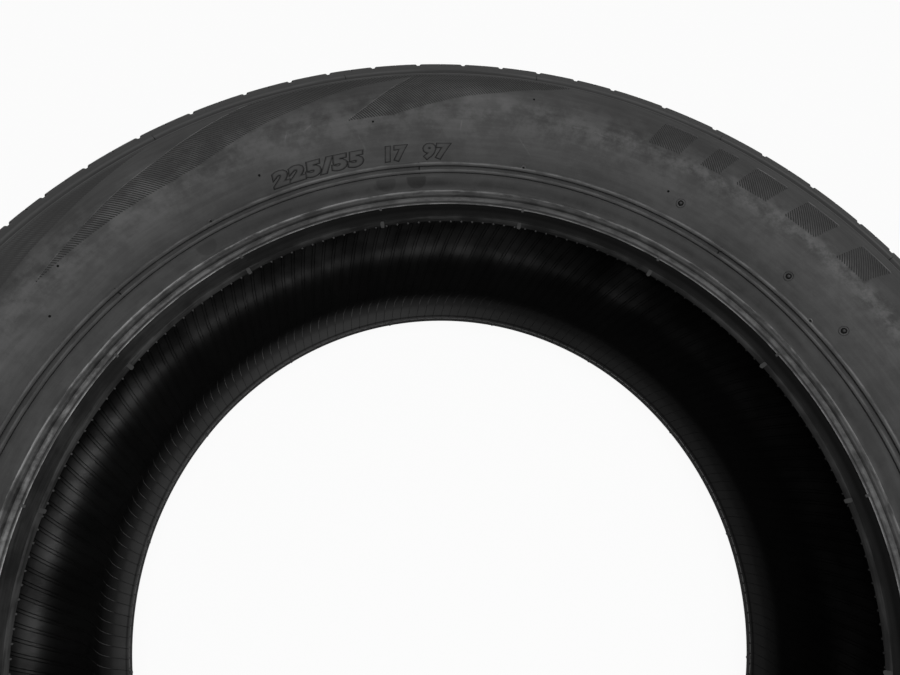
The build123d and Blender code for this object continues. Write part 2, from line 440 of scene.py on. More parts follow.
def tread_band(rubber):
    """Tread and shoulders down to the joint ring. The columns lean with the slots outside their start and
    stand at the edges of slots and sipes, so that a cut is a lower radius in its columns."""
    half = tread_section()
    inside = CROWN - TREAD_SKIN
    under = np.array([[inside - SKIN_DROP, -SKIN_REACH], [inside, 0.0], [inside - SKIN_DROP, SKIN_REACH]])
    section = np.concatenate([half[::-1], half[1:] * [1, -1], under])
    centre, pitch = slot_turns()
    half_slot = SLOT_WIDTH / 2
    half_sipe = SIPE_WIDTH / 2
    near = half_slot * np.array([-1, -1, -1, 1, 1, 1]) + [-SLOT_LIP, 0, SLOT_WALL, -SLOT_WALL, 0, SLOT_LIP]
    far = half_sipe * np.array([-1, -1, 1, 1]) + [-SIPE_LIP, 0, 0, SIPE_LIP]
    columns = [centre[:, None] + near / CROWN, (centre + 0.26 * pitch)[:, None],
               (centre + 0.5 * pitch)[:, None] + far / CROWN, (centre + 0.74 * pitch)[:, None]]
    turn = np.concatenate(columns, axis=1).ravel()
    slot_share = np.tile([0, 0.06, 1, 1, 0.06, 0, 0, 0, 0, 0, 0, 0], len(centre))
    sipe_share = np.tile([0, 0, 0, 0, 0, 0, 0, 0, 1, 1, 0, 0], len(centre))
    radius, height = section[:, :1], section[:, 1:]
    beyond = np.maximum(np.abs(height) - SLOT_START, 0)
    floor = tread_height(SLOT_START) - SLOT_DEPTH - tan(radians(SLOT_TILT)) * beyond
    outer_row = np.arange(len(section))[:, None] < len(section) - len(under)
    cut = np.where((np.abs(height) > SLOT_START) & outer_row, np.maximum(radius - floor, 0), 0)
    out = radius - cut * slot_share - np.minimum(cut, SIPE_DEPTH) * sipe_share
    lean = -tan(radians(SLOT_SKEW)) * beyond * np.sign(height) / CROWN
    points = spin(np.stack([out, np.broadcast_to(height, out.shape)], axis=-1), turn + lean)
    # Slots and sipes are painted with shade in their cuts, more where they are deeper.
    wear_and_shade = np.where(cut > 0, -np.minimum(cut / SIPE_DEPTH, 1) * (slot_share + sipe_share), 0.0)
    return add_piece("tread_band", points, ring_faces(*out.shape)[:, ::-1], [rubber], sharp=40.0, wear_and_shade=wear_and_shade)


def ridge(turn, radius, step_round, step_along, width, lift, side):
    """Points of ridges on a sidewall, each a triangle across its steps round the axle and along the radius:
    a foot inside the rubber, a top at a lift, and the other foot."""
    length = np.hypot(step_along, step_round)
    out_round = step_along / length * width / 2 / radius
    out_along = -step_round / length * width / 2
    foot = np.full(radius.shape, -FOOT_DEPTH)
    rings = [on_wall(turn - out_round, radius - out_along, foot, side),
             on_wall(turn, radius, lift, side),
             on_wall(turn + out_round, radius + out_along, foot, side)]
    return np.stack(rings, axis=2)


def bars_on_wall(name, turn, radius, width, lift, finish, side, shade=(0.0, 0.0, 0.0)):
    """Thin ridges on a sidewall: angles and radii of their stations, width at the foot and lift of the top.
    Shade is the shading value at one foot, the top and the other foot: painted shade below nothing, and
    scuffing with a painted highlight above it."""
    step_round = np.gradient(turn, axis=1) * radius
    points = ridge(turn, radius, step_round, np.gradient(radius, axis=1), width, lift, side)
    wear_and_shade = np.broadcast_to(np.array(shade), points.shape[:3])
    return add_piece(name, points, bar_faces(*radius.shape, 3), [finish], sharp=60.0, wear_and_shade=wear_and_shade)


def edge_turn(edge, radius):
    """Angle at each radius of an edge, which is a list of angles and radii from the bottom up."""
    turns, radii = np.transpose(edge)
    return np.interp(radius, radii, np.radians(turns))


def hatch_lines(left, right):
    """Stations of the hatch lines between two edges. A line rises toward larger angles at a fixed steepness,
    and keeps the stretch where it is between the edges."""
    bottom, top = left[0][1], left[-1][1]
    samples = np.linspace(bottom, top, 160)
    left_turn, right_turn = edge_turn(left, samples), edge_turn(right, samples)
    pitch = HATCH_PITCH / sin(radians(HATCH_STEEPNESS)) / WIDEST[0]
    shift = (samples - bottom) / tan(radians(HATCH_STEEPNESS)) / WIDEST[0]
    first = np.floor((right_turn - shift).min() / pitch)
    last = np.ceil(left_turn.max() / pitch)
    start = np.arange(first, last + 1)[:, None] * pitch
    turn = start + shift
    within = (turn > right_turn) & (turn < left_turn)
    keep = within.sum(axis=1) > 2
    start, within = start[keep], within[keep]
    low_end = samples[np.argmax(within, axis=1)]
    high_end = samples[len(samples) - 1 - np.argmax(within[:, ::-1], axis=1)]
    radius = low_end[:, None] + (high_end - low_end)[:, None] * np.array([0.0, 0.04, 0.35, 0.65, 0.96, 1.0])
    return start + (radius - bottom) / tan(radians(HATCH_STEEPNESS)) / WIDEST[0], radius


# Hatched sweeps of the sidewall: left and right edge as angles and radii from the bottom up, and strength
SWEEPS = [
    ([(177.0, HATCH_BOTTOM), (166.0, 0.2826), (156.0, 0.2918), (149.0, 0.2961), (144.5, HATCH_TOP)],
     [(161.0, HATCH_BOTTOM), (153.0, 0.2765), (145.8, 0.2829), (142.0, 0.2863), (139.2, 0.2883),
      (136.6, 0.2911), (132.9, 0.2952), (126.0, HATCH_TOP)], 0.25),
    ([(145.4, HATCH_BOTTOM), (143.6, 0.2714), (141.8, 0.2728), (138.4, 0.2756), (135.5, 0.2785),
      (132.6, 0.2816), (129.9, 0.2842), (126.9, 0.2868), (124.5, 0.2897), (119.3, 0.2965),
      (114.0, HATCH_TOP)],
     [(125.5, HATCH_BOTTOM), (122.1, 0.2711), (119.4, 0.2740), (115.1, 0.2788), (112.0, 0.2823),
      (108.5, 0.2860), (105.2, 0.2903), (102.7, 0.2935), (100.4, 0.2957), (97.7, 0.2981),
      (92.5, HATCH_TOP)], 1.0),
    ([(103.4, HATCH_BOTTOM), (101.0, 0.2766), (99.1, 0.2832), (97.2, 0.2906), (95.2, 0.2986),
      (94.2, HATCH_TOP)],
     [(97.2, HATCH_BOTTOM), (94.3, 0.2735), (91.4, 0.2772), (88.2, 0.2818), (84.0, 0.2868), (81.1, 0.2917),
      (78.3, 0.2960), (75.5, HATCH_TOP)], 1.0),
]

# Plain hatched blocks of the sidewall: angle of the middle and width in degrees
BLOCKS = [(62.2, 4.2), (56.1, 2.6), (50.5, 4.2), (43.6, 4.4), (36.1, 4.2)]
BLOCK_BOTTOM = 0.2765
BLOCK_TOP = 0.2965
BLOCK_LEAN = 1.0

# Fine raised line along a band's edge
EDGE_LINE_WIDTH = 0.0008
EDGE_LINE_HEIGHT = 0.0003
EDGE_LINE_GAP = 0.0008


def block_edge(turn):
    """One side of a plain block, which leans from its bottom to its top."""
    return [(turn + BLOCK_LEAN / 2, BLOCK_BOTTOM), (turn - BLOCK_LEAN / 2, BLOCK_TOP)]


def hatching(name, side, finish):
    """All hatch lines of one sidewall. Those of a faint band are low, and wide enough to run together."""
    blocks = [(block_edge(middle + width / 2), block_edge(middle - width / 2), 1.0)
              for middle, width in BLOCKS]
    bands = [(*hatch_lines(left, right), strength) for left, right, strength in SWEEPS + blocks]
    turn = np.concatenate([turn + np.radians(half) for half in HALVES for turn, _, _ in bands])
    radius = np.concatenate([radius for _, radius, _ in bands] * len(HALVES))
    strengths = [np.full((len(turn), 1), strength) for turn, _, strength in bands]
    strength = np.concatenate(strengths * len(HALVES))
    lift = HATCH_HEIGHT * strength * np.array([0.0, 1.0, 1.0, 1.0, 1.0, 0.0]) + 0 * radius
    # Feet between the lines are painted with shade; the tops of a faint band are darker rubber.
    top = 0.31 * (strength - 1)
    foot = -0.6 - 0.7 * strength
    width = np.where(strength < 1, FAINT_HATCH_WIDTH, HATCH_WIDTH)
    return bars_on_wall(name, turn, radius, width, lift, finish, side, np.stack([foot, top, foot], axis=2))


def sweep_edges(name, side, finish):
    """Fine raised line along the left edge of each hatched sweep and the top of each block."""
    share = np.linspace(0, 1, 24)
    rising = HATCH_BOTTOM + share * (HATCH_TOP - HATCH_BOTTOM)
    level = BLOCK_TOP + EDGE_LINE_GAP + 0 * share
    lines = [(edge_turn(left, rising), rising) for left, _, _ in SWEEPS]
    lines += [(np.radians(middle - BLOCK_LEAN / 2 + (0.5 - share) * width), level)
              for middle, width in BLOCKS]
    turn, radius = np.stack(lines, axis=1)
    turn = np.concatenate([turn + np.radians(half) for half in HALVES])
    radius = np.concatenate([radius] * len(HALVES))
    lift = np.where((share > 0) & (share < 1), EDGE_LINE_HEIGHT, 0.0) + 0 * radius
    # The line's inner foot is painted with shade, and its top and outer foot are paler for scuffing and a
    # painted highlight.
    return bars_on_wall(name, turn, radius, EDGE_LINE_WIDTH, lift, finish, side, (-1.6, 1.1, 0.9))


def wall_bars(name, turns, bottom, top, width, height, side, finish):
    """Straight radial fins on a sidewall from one radius to another."""
    share = np.array([0.0, 0.06, 0.5, 0.94, 1.0])
    radius = np.repeat((bottom + (top - bottom) * share)[None, :], len(turns), axis=0)
    turn = np.radians(turns)[:, None] + 0 * radius
    lift = np.array([0.0, height, height, height, 0.0]) + 0 * radius
    return bars_on_wall(name, turn, radius, width, lift, finish, side)


def ring_on_wall(name, paths, width, height, side, finish, worn_and_lit=0.0):
    """Ridges that close on themselves, each along a path of angles and radii, paler on top by a given amount
    that stands for scuffing and a painted highlight.
    """
    turn, radius = np.stack(paths, axis=1)
    step_along = np.roll(radius, -1, axis=1) - np.roll(radius, 1, axis=1)
    step_round = (np.roll(turn, -1, axis=1) - np.roll(turn, 1, axis=1)) * radius
    points = ridge(turn, radius, step_round, step_along, width, np.full(radius.shape, height), side)
    count, stations = radius.shape
    faces = ring_faces(stations, 3)[None, :, :] + (np.arange(count) * stations * 3)[:, None, None]
    wear_and_shade = np.broadcast_to([0.0, worn_and_lit, 0.0], points.shape[:3])
    return add_piece(name, points, faces.reshape(-1, 4), [finish], sharp=60.0, wear_and_shade=wear_and_shade)


def obround(start, end, middle, half_width):
    """Path of a strip with round ends between two angles, of a half width across a middle radius."""
    reach = half_width / middle
    bend = np.radians(np.linspace(-90, 90, 13)[1:-1])
    straight = np.linspace(start + reach, end - reach, 22)
    out = reach * np.cos(bend)
    turn = np.concatenate([straight, end - reach + out, straight[::-1], start + reach - out])
    across = np.concatenate([np.full(22, -1.0), np.sin(bend), np.full(22, 1.0), -np.sin(bend)])
    return turn, middle + half_width * across * cos(RIM_LEAN)


def circle(middle_turn, middle, size, count=20):
    """Path of a circle on the wall round an angle and a radius, drawn in radially by the wall's lean."""
    share = np.arange(count) / count * 2 * np.pi
    return middle_turn + size * np.cos(share) / middle, middle + size * np.sin(share) * LEANED


def studs(name, places, axes, size, profile, finish, corners=10, squareness=1.0):
    """Small closed studs at many places: rings of a superellipse, each a share of the size at a height.
    Axes are across, along and out at each place; size is the half width, half length and height."""
    share = (np.arange(corners) + 0.5) / corners * 2 * np.pi
    wave = np.stack([np.cos(share), np.sin(share)], axis=1)
    flat = np.sign(wave) * np.abs(wave) ** squareness
    rings = np.array(profile)[:, None, :]
    level = np.broadcast_to(rings[..., 1:], (len(profile), corners, 1))
    local = np.concatenate([rings[..., :1] * flat, level], axis=2) * size
    points = places[:, None, None, :] + np.einsum("srk,nkc->nsrc", local, np.stack(axes, axis=1))
    return add_piece(name, points, bar_faces(len(places), len(profile), corners), [finish], sharp=50.0)


def wall_axes(turn, radius, side):
    """Places on a sidewall and the directions across, along and out of it there."""
    step = 1e-4
    lift = 0 * radius
    place = on_wall(turn, radius, lift, side)
    across = on_wall(turn + step, radius, lift, side) - place
    along = on_wall(turn, radius + step, lift, side) - place
    across /= np.linalg.norm(across, axis=-1, keepdims=True)
    along /= np.linalg.norm(along, axis=-1, keepdims=True)
    return place, (across, along, np.cross(along, across))


def toe_axes(turn, place, slope, side):
    """Places round a bead at a point of the section, with axes round it, along a slope there and out."""
    points = spin(np.broadcast_to(place, (len(turn), 2)), turn, side)
    across = np.stack([-np.sin(turn), side * np.cos(turn), 0 * turn], axis=1)
    along = spin(np.broadcast_to(slope, (len(turn), 2)), turn, side)
    return points, (across, along, np.cross(along, across))


def read(items, key, width=1, kind=float):
    """One property of all items of a mesh as an array."""
    values = np.empty(len(items) * width, kind)
    items.foreach_get(key, values)
    return values


# Numerals of the sidewall: figures and the angles they fill, their radii and how far they stand out, and the
# height of a figure in the flat text
NUMERALS = [("225/55", 115.3, 102.1), ("17", 99.5, 96.0), ("97", 94.1, 90.0)]
NUMERAL_BOTTOM = 0.2455
NUMERAL_TOP = 0.2520
NUMERAL_HEIGHT = 0.0011
FIGURE_HEIGHT = 0.73


def numerals(name, side, finish):
    """Raised numerals with rounded edges: each run of figures is made flat, turned into a mesh with doubled
    points joined, then laid on the wall so that it fills a range of angles and of radii."""
    points, faces, wear_and_shade, count = [], [], [], 0
    runs = [(text, start + half, end + half) for half in HALVES for text, start, end in NUMERALS]
    for text, start, end in runs:
        curve = bpy.data.curves.new(name, "FONT")
        curve.body = text
        curve.shear = 0.12
        curve.offset = 0.02
        curve.space_character = 1.14
        curve.fill_mode = "BOTH"
        curve.bevel_depth = 0.08
        curve.bevel_resolution = 1
        curve.resolution_u = 3
        flat = add_object(name, curve)
        mesh = bpy.data.meshes.new_from_object(flat)
        place = read(mesh.vertices, "co", 3).reshape(-1, 3).round(5)
        place, joined = np.unique(place, axis=0, return_inverse=True)
        low, size = place.min(axis=0), np.ptp(place, axis=0)
        low[1], size[1] = 0.0, FIGURE_HEIGHT
        share = (place - low) / size
        turn = np.radians(start + (end - start) * share[:, 0])
        radius = NUMERAL_BOTTOM + (NUMERAL_TOP - NUMERAL_BOTTOM) * share[:, 1]
        points.append(on_wall(turn, radius, (share[:, 2] - 0.45) * NUMERAL_HEIGHT, side))
        # The sides of the figures are painted with shadow, up to near their tops.
        wear_and_shade.append(np.interp(share[:, 2], [0.8, 0.99], [-1.5, -0.05]))
        corners = joined.ravel()[read(mesh.loops, "vertex_index", 1, int)] + count
        cuts = np.cumsum(read(mesh.polygons, "loop_total", 1, int))[:-1]
        faces += [face.tolist() for face in np.split(corners, cuts)]
        count += len(place)
        bpy.data.objects.remove(flat)
        bpy.data.curves.remove(curve)
        bpy.data.meshes.remove(mesh)
    return add_piece(name, np.concatenate(points), faces, [finish], sharp=60.0, wear_and_shade=np.concatenate(wear_and_shade))


# Specular levels
MATT_SPECULAR = 0.06
BEAD_SPECULAR = 0.08


class Value:
    """A number or colour in a shader: arithmetic on it adds Math nodes to its finish."""

    def __init__(self, finish, socket):
        self.finish = finish
        self.socket = socket

    def math(self, operation, *others):
        """A Math node of this value and others, in their order."""
        return self.finish.math(operation, self, *others)

    def part(self, output):
        """Another output of the node that this value comes from."""
        return Value(self.finish, self.socket.node.outputs[output])

    def __add__(self, other):
        return self.math("ADD", other)

    __radd__ = __add__

    def __mul__(self, other):
        return self.math("MULTIPLY", other)

    __rmul__ = __mul__

    def __sub__(self, other):
        return self.math("SUBTRACT", other)

    def __rsub__(self, other):
        return self.finish.math("SUBTRACT", other, self)

    def __truediv__(self, other):
        return self.math("DIVIDE", other)

    def __rtruediv__(self, other):
        return self.finish.math("DIVIDE", other, self)

    def __pow__(self, other):
        return self.math("POWER", other)

    def __neg__(self):
        return self * -1.0


class Finish:
    """A material or a world made node by node."""

    def __init__(self, data):
        data.use_nodes = True
        self.data = data
        self.tree = data.node_tree
        self.tree.nodes.clear()

    def node(self, kind, settings=None, inputs=None, output=0):
        """Adds a node, makes its settings, fills its sockets with values or links, and returns one output."""
        node = self.tree.nodes.new(kind)
        for key, value in (settings or {}).items():
            setattr(node, key, value)
        for key, value in (inputs or {}).items():
            if isinstance(value, Value):
                self.tree.links.new(value.socket, node.inputs[key])
            else:
                node.inputs[key].default_value = value
        return Value(self, node.outputs[output]) if len(node.outputs) else None

    def math(self, operation, *values):
        """A Math node of values or numbers, in their order."""
        return self.node("ShaderNodeMath", {"operation": operation}, dict(enumerate(values)))

    def place(self):
        """Place on the piece, as Object coordinates."""
        return self.node("ShaderNodeTexCoord", output="Object")

    def noise(self, place, scale, detail=3.0, roughness=0.5):
        """Soft random pattern between 0 and 1."""
        inputs = {"Vector": place, "Scale": scale, "Detail": detail, "Roughness": roughness}
        return self.node("ShaderNodeTexNoise", None, inputs)

    def rise(self, value, start, end, low=0.0, high=1.0):
        """A value taken from one range to another with soft ends."""
        inputs = {"Value": value, "From Min": start, "From Max": end, "To Min": low, "To Max": high}
        return self.node("ShaderNodeMapRange", {"interpolation_type": "SMOOTHSTEP"}, inputs)

    def hump(self, value, middle, reach):
        """One at a middle value, falling softly to nothing at a reach on both sides."""
        return self.rise((value - middle).math("ABSOLUTE"), reach, 0.0)

    def stroke(self, turn, radius, start_turn, start_radius, end_turn, end_radius, width):
        """One along a straight stroke between two places on the wall, falling off to its sides and ends."""
        middle = (start_radius + end_radius) / 2
        step = np.array([np.radians(end_turn - start_turn) * middle, end_radius - start_radius])
        length = np.linalg.norm(step)
        across, along = (step / length).tolist()
        round_way, out_way = (turn - start_turn) * (middle * np.pi / 180), radius - start_radius
        run = round_way * across + out_way * along
        side = round_way * along - out_way * across
        return self.hump(side, 0.0, width) * self.hump(run, length / 2, length / 2)

    def wear_and_shade(self):
        """Shading value of the point: painted shade below nothing in a corner, and scuffing with a painted
        highlight above it on a ridge.
        """
        return self.node("ShaderNodeAttribute", {"attribute_name": "wear_and_shade"}, output="Fac")

    def hollow_shade(self):
        """How dark a point is painted as shade in a corner or a cut: its shading value where that is below
        nothing.
        """
        return (-self.wear_and_shade()).math("MAXIMUM", 0.0)

    def polar(self, place):
        """Angle round the axle in degrees, radius, height, and the direction from the axle."""
        x = self.node("ShaderNodeSeparateXYZ", None, {0: place})
        y, z = x.part("Y"), x.part("Z")
        radius = (x * x + y * y) ** 0.5
        turn = y.math("ARCTAN2", x) * (180 / np.pi)
        return turn, radius, z, x / radius, y / radius

    def drawn(self, x, y, across, around, scale):
        """Place drawn out round the axle: direction from it and a measure across, each times its scale."""
        return self.node("ShaderNodeCombineXYZ", None, {0: x * around, 1: y * around, 2: across * scale})

    def bump(self, height, strength, distance):
        """A normal with fine relief."""
        inputs = {"Strength": strength, "Distance": distance, "Height": height}
        return self.node("ShaderNodeBump", None, inputs)

    def surface(self, tone, rough, specular=MATT_SPECULAR, **others):
        """Surface of a grey tone and its output. An underscore in a socket's name stands for a space."""
        grey = self.node("ShaderNodeCombineColor", None, {0: tone, 1: tone, 2: tone})
        inputs = {"Base Color": grey, "Roughness": rough, "Specular IOR Level": specular}
        inputs |= {key.replace("_", " "): value for key, value in others.items()}
        shader = self.node("ShaderNodeBsdfPrincipled", None, inputs)
        self.node("ShaderNodeOutputMaterial", None, {0: shader})
        return self.data


def rubber_finish(name):
    """A new finish and its place, with the angle, radius, height and direction from the axle there."""
    finish = Finish(bpy.data.materials.new(name))
    place = finish.place()
    return finish, place, *finish.polar(place)


# Bands of the wall that hold dust or dirt, and one that is only paler, each as a middle radius and a reach
DUST_BAND = (0.273, 0.025)
CLOUD_BAND = (0.281, 0.015)
PALER_LOW_BAND = (0.2585, 0.022)
FLAT_BAND = (0.2335, 0.0052)
HANDLED_BAND = (0.2262, 0.0085)
HEEL_DUST_BAND = (0.2235, 0.0042)
NARROW_DUST = 0.2725
NARROW_DUST_REACH = 0.0095

# Dark smudges on the flat band over the rim line, as angles and depths of tone
SMUDGES = [(127.0, 0.6), (99.7, 0.7), (95.2, 1.0)]
SMUDGE_RADIUS = 0.2362
SMUDGE_REACH = 0.0058
SMUDGE_SPREAD = 1.5

# Scratches on the wall, each from an angle and radius to another
SCRATCH_WIDTH = 0.0006
SCRATCHES = [
    (75.2, 0.2704, 72.2, 0.2712), (72.4, 0.2712, 69.0, 0.2695), (88.7, 0.2669, 88.9, 0.2589),
    (81.5, 0.2601, 78.4, 0.2467), (102.6, 0.2628, 101.7, 0.2507), (109.8, 0.2672, 106.6, 0.2754),
    (79.0, 0.2993, 78.4, 0.2967), (83.7, 0.2432, 81.5, 0.2437), (111.9, 0.2642, 110.8, 0.2736),
    (111.3, 0.2632, 110.3, 0.2728),
]


def sidewall_rubber():
    """Satin black rubber over a fine grain: soft clouds and mottling, pale dust drawn round the wall and
    thickest on one side, dark smudges and blotches, scratches, ridges paler for scuffing and a painted
    highlight, and painted shade in corners."""
    finish, place, turn, radius, _, x, y = rubber_finish("sidewall_rubber")
    fine = finish.noise(finish.drawn(x, y, radius, 9.0, 420.0), 1.0, 4.0, 0.6)
    streaks = finish.noise(finish.drawn(x, y, radius, 5.0, 70.0), 1.0, 5.0, 0.6)
    handled = finish.noise(finish.drawn(x, y, radius, 13.0, 300.0), 1.0, 4.0, 0.65)
    clouds = finish.noise(place, 16.0, 4.0, 0.6)
    patches = finish.noise(place, 55.0, 4.0, 0.65)
    scuffs = finish.noise(place, 150.0, 5.0, 0.7)
    grain = finish.noise(place, 1400.0, 2.0)
    broad = finish.hump(radius, *DUST_BAND) * finish.rise(x, 0.75, 0.2, 0.25, 0.6)
    narrow = finish.hump(radius, NARROW_DUST + 0.012 * (clouds - 0.5), NARROW_DUST_REACH)
    narrow = narrow * finish.rise(x, 0.1, 0.6) * finish.rise(scuffs * 0.6 + patches * 0.4, 0.4, 0.62)
    cloud = finish.hump(turn, 86.0, 9.0) * finish.hump(radius, *CLOUD_BAND)
    sides = finish.rise(x, -0.5, -0.98) + 0.5 * finish.rise(x, 0.4, 0.85)
    dust = broad * finish.rise(streaks * 0.3 + patches * 0.5 + scuffs * 0.2, 0.42, 0.6)
    dust = dust + narrow * finish.rise(clouds, 0.35, 0.65, 0.35, 0.9) + 0.5 * cloud
    dust = dust + finish.hump(radius, *HEEL_DUST_BAND) * sides * finish.rise(scuffs, 0.42, 0.62)
    smudge = 0.3 + 0.2 * finish.rise(patches, 0.45, 0.65) + 0.14 * finish.hump(turn, 95.0, 25.0)
    smudge = finish.hump(radius, *FLAT_BAND) * (smudge - finish.rise(x, -0.35, -0.75, 0.0, 0.3))
    depth = ((radius - SMUDGE_RADIUS) / SMUDGE_REACH) ** 2.0
    spots = 0.0
    for angle, deep in SMUDGES:
        spread = ((turn - angle) / SMUDGE_SPREAD) ** 2.0 + depth
        spots = spots + deep * finish.rise(spread, 1.1, 0.7)
    spots = 0.42 * spots * finish.rise(radius, 0.2379, 0.2372)
    scratched = sum(finish.stroke(turn, radius, *ends, SCRATCH_WIDTH) for ends in SCRATCHES)
    scratched = scratched * finish.rise(scuffs, 0.35, 0.6)
    # Patchy paleness of ridges, for scuffing and a painted highlight, strongest at the heel on one side.
    rubbed_and_lit = finish.rise(patches * 0.3 + scuffs * 0.1 + handled * 0.6, 0.41, 0.59, 0.25, 1.35)
    by_radius = finish.rise(radius, 0.236, 0.231, 0.0, 1.4) - finish.rise(radius, 0.25, 0.246, 0.0, 0.4)
    rubbed_and_lit = rubbed_and_lit * (1 + finish.rise(x, 0.1, -0.95) * by_radius)
    # Ridges are painted paler for scuffing and a painted highlight, and corners darker as painted shade.
    worn_and_lit = finish.wear_and_shade().math("MAXIMUM", 0.0) * rubbed_and_lit
    shaded = finish.hollow_shade()
    # A paler band on the lower wall, more so on one side.
    paler_low = finish.hump(radius, *PALER_LOW_BAND) * (1 + finish.rise(x, -0.1, -0.7))
    mottled = finish.rise(scuffs * 0.5 + patches * 0.5, 0.42, 0.58)
    mottled = mottled * finish.rise(radius, 0.292, 0.27, 0.3, 1.0)
    blotch = finish.rise(handled * 0.6 + patches * 0.4, 0.54, 0.43, -0.12, 0.32)
    blotch = finish.hump(radius, *HANDLED_BAND) * blotch
    tone = 0.0352 + 0.014 * finish.rise(clouds, 0.3, 0.7) + 0.008 * finish.rise(fine, 0.35, 0.7)
    tone = (tone + 0.0055 * mottled) * (1 + 0.16 * paler_low) + 0.056 * dust + 0.085 * worn_and_lit + 0.03 * scratched
    tone = tone * (1 - 0.6 * shaded) * (1 - smudge) * (1 - spots) * (1 - blotch)
    rough = 0.62 + 0.15 * dust - 0.1 * worn_and_lit
    return finish.surface(tone, rough, Normal=finish.bump(grain, 0.2, 0.0002))


def hatch_rubber():
    """Matt rubber of the hatch lines, with painted shade between them."""
    finish = Finish(bpy.data.materials.new("hatch_rubber"))
    patches = finish.noise(finish.place(), 60.0, 3.0, 0.6)
    dark = finish.hollow_shade()
    tone = (0.036 + 0.018 * patches) * (1 - 0.85 * dark)
    return finish.surface(tone, 0.7)


def tread_rubber():
    """Matt tread rubber, with painted shade in its cuts and a painted highlight on the edge under the
    shoulder.
    """
    finish, place, turn, radius, _, x, y = rubber_finish("tread_rubber")
    clouds = finish.noise(place, 30.0, 4.0, 0.6)
    fine = finish.noise(finish.drawn(x, y, radius, 8.0, 350.0), 1.0, 4.0, 0.6)
    grain = finish.noise(place, 900.0, 2.0)
    dark = finish.hollow_shade()
    # Painted highlight on the rounded edge under the shoulder, weak at the top of the tyre.
    edge = finish.hump(radius, finish.rise(x, 0.4, 0.85, 0.3106, 0.3134), 0.0038)
    edge = edge * (1 - 0.9 * finish.hump(turn, 89.0, 9.0))
    tone = 0.022 + 0.008 * clouds + 0.008 * finish.rise(fine, 0.4, 0.7) + 0.064 * clouds * edge
    tone = tone * (1 - 0.7 * dark)
    return finish.surface(tone, 0.66 + 0.1 * clouds, Normal=finish.bump(grain, 0.25, 0.0002))


def bead_rubber():
    """Dark smooth rubber of heel, seat and toe, scuffed all round, with a painted highlight in a ring where
    the seat meets the toe.
    """
    finish, place, _, radius, height, x, y = rubber_finish("bead_rubber")
    scuffs = finish.noise(finish.drawn(x, y, height + radius, 10.0, 600.0), 1.0, 4.0, 0.6)
    patches = finish.noise(place, 40.0, 3.0, 0.6)
    level = height.math("ABSOLUTE")
    seat = finish.rise(level, 0.0862, 0.0815)
    # A painted highlight in a ring where the seat meets the toe.
    ring = finish.hump(level, 0.0785, 0.0032)
    leftward = finish.rise(x, -0.1, -0.95)
    scuffed = finish.rise(scuffs * 0.4 + patches * 0.6, 0.4, 0.62, 0.25, 1.3)
    rim = finish.hump(height, -0.0756, 0.0014)
    tone = 0.002 + (0.007 * seat + 0.018 * ring) * scuffed + leftward * (0.004 + 0.018 * scuffed) + 0.06 * rim
    tone = tone + 0.007 * seat * finish.rise(x, 0.4, 0.8)
    return finish.surface(tone, 0.6 + 0.2 * scuffs, BEAD_SPECULAR)


def liner_rubber():
    """Very dark liner, glossy most of all on one side, dull and painted with shadow near the upper bead, and
    painted with shade in its lines. The lower wall has a painted pool of light, brightest on one side, and
    its lines a painted highlight at their upper ends and painted shadow at their lower ends."""
    finish, _, turn, radius, height, x, y = rubber_finish("liner_rubber")
    streaks = finish.noise(finish.drawn(x, y, height, 10.0, 60.0), 1.0, 4.0, 0.55)
    line = finish.hollow_shade()
    leftward = finish.rise(x, 0.45, -0.4)
    lower = finish.rise(height, -0.045, -0.075)
    left = finish.rise(x, -0.45, -0.95)
    # A painted pool of light on the lower wall near the lower bead, brightest on one side. The lines' lower
    # ends get painted shadow and their upper ends a painted highlight.
    floor = lower * finish.rise(radius + 0.005 * left, 0.252, 0.222) * (1 - 0.3 * left)
    low_end = lower * finish.rise(radius, 0.230, 0.2255)
    high_end = lower * finish.rise(radius, 0.228, 0.2325) * finish.rise(radius, 0.249, 0.241)
    # Painted shadow, with less gloss, near the upper bead on one side.
    near = finish.rise(x, -0.6, -0.94) * finish.rise(radius, 0.296, 0.306)
    seam = lower * finish.hump(radius, 0.2186, 0.0012)
    tone = 0.003 + 0.003 * streaks + leftward * (0.001 + 0.033 * floor) + (0.004 + 0.006 * leftward) * low_end
    tone = tone + 0.006 * (1 - leftward) * lower * finish.rise(radius, 0.252, 0.234)
    tone = tone * (1 - line * (0.3 + 0.5 * low_end)) * (1 - 0.7 * seam) + 0.25 * line * leftward * high_end
    tone = tone * (1 - 0.5 * near)
    gloss = 0.25 + finish.rise(x, -0.75, -0.98, 0.0, 0.52) - finish.rise(x, 0.1, 0.5, 0.0, 0.21)
    gloss = gloss + 0.16 * finish.hump(turn, 57.0, 5.0)
    clear = finish.rise(radius, 0.219, 0.262) + finish.rise(height, 0.02, 0.0)
    gloss = gloss * clear.math("MINIMUM", 1.0) * finish.rise(streaks, 0.35, 0.65, 0.5, 1.2)
    gloss = gloss * (1 - 0.8 * near) * (1 - 0.7 * line)
    return finish.surface(tone, 0.85, Coat_Weight=gloss, Coat_Roughness=0.4)


def plain_rubber(name, tone, rough, fade=0.0):
    """Even rubber for small studs, which may fade to dark on one side of the tyre."""
    finish, place, _, _, _, x, _ = rubber_finish(name)
    patches = finish.noise(place, 90.0, 2.0, 0.6)
    shade = tone * (0.7 + 0.6 * patches) * (1 - fade * finish.rise(x, 0.1, 0.5))
    return finish.surface(shade, rough)


def seen_ray(finish):
    """One where a ray comes straight from the camera, from gloss or through glass."""
    ray = finish.node("ShaderNodeLightPath", output="Is Camera Ray")
    return (ray + ray.part("Is Glossy Ray") + ray.part("Is Transmission Ray")).math("MINIMUM", 1.0)


